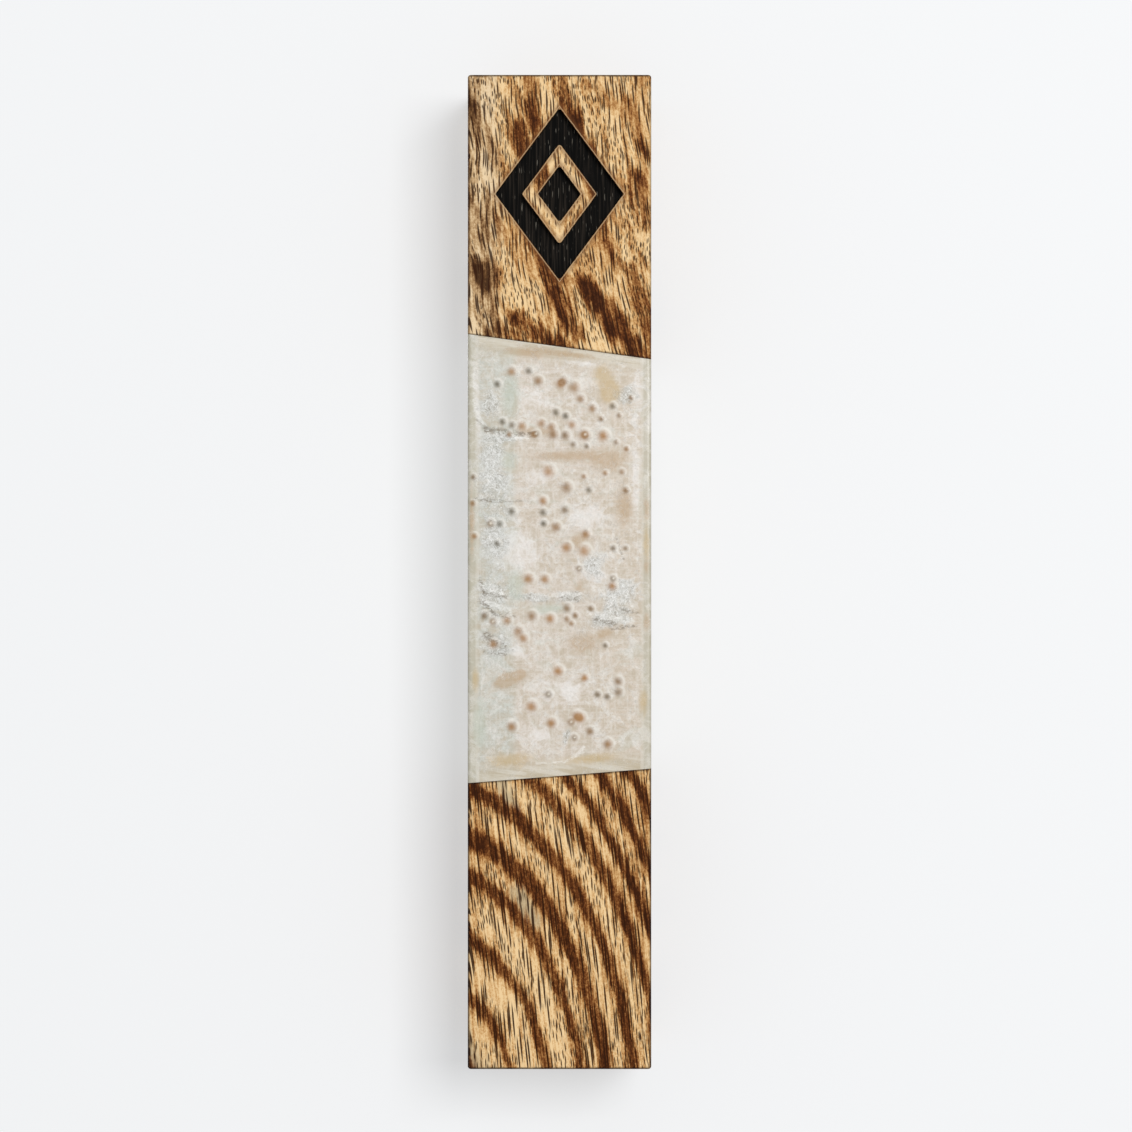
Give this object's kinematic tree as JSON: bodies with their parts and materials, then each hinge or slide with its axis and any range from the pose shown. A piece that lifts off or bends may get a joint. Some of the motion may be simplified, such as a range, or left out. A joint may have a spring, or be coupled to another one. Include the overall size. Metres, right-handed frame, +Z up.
{
  "type": "mezuzah case",
  "caption": "Slim rectangular mezuzah case of figured wood and pearl resin, engraved with a lozenge; a back slat slides up to reach the rolled parchment scroll.",
  "frame": {"origin": "middle of the plane of the liners on the back, which meets the doorpost, half way up the case", "axes": "+Z up along the case, +Y out of the back towards the doorpost, so the engraved front faces -Y; +X is to the right as seen from the front"},
  "size_m": [0.024, 0.0191, 0.13],
  "materials": {
    "upper_wood": "oiled, satin, with dark flame figure",
    "lower_wood": "oiled, satin, with bold dark bands",
    "resin": "cast cream pearl resin with tan spots, sanded to a satin sheen",
    "slat_wood": "plain straight-grained, oiled",
    "parchment": "matte, blank",
    "clear_film": "thin clear film",
    "foam": "matte white closed-cell foam",
    "liner": "satin release paper"
  },
  "bodies": {
    "case": {"upper_wood_block": "upper_wood", "resin_block": "resin", "lower_wood_block": "lower_wood", "foam_strip_left": "foam", "foam_strip_right": "foam", "strip_liner_left": "liner", "strip_liner_right": "liner"},
    "slat": {"back_slat": "slat_wood"},
    "scroll": {"parchment_scroll": "parchment", "scroll_sleeve": "clear_film"}
  },
  "joints": [
    {"name": "slat_slide", "type": "slide", "parent": "case", "child": "slat", "axis": [0, 0, 1], "range_m": [0, 0.122]},
    {"name": "scroll_play", "type": "slide", "parent": "case", "child": "scroll", "axis": [0, 0, 1], "range_m": [0, 0.003]}
  ]
}
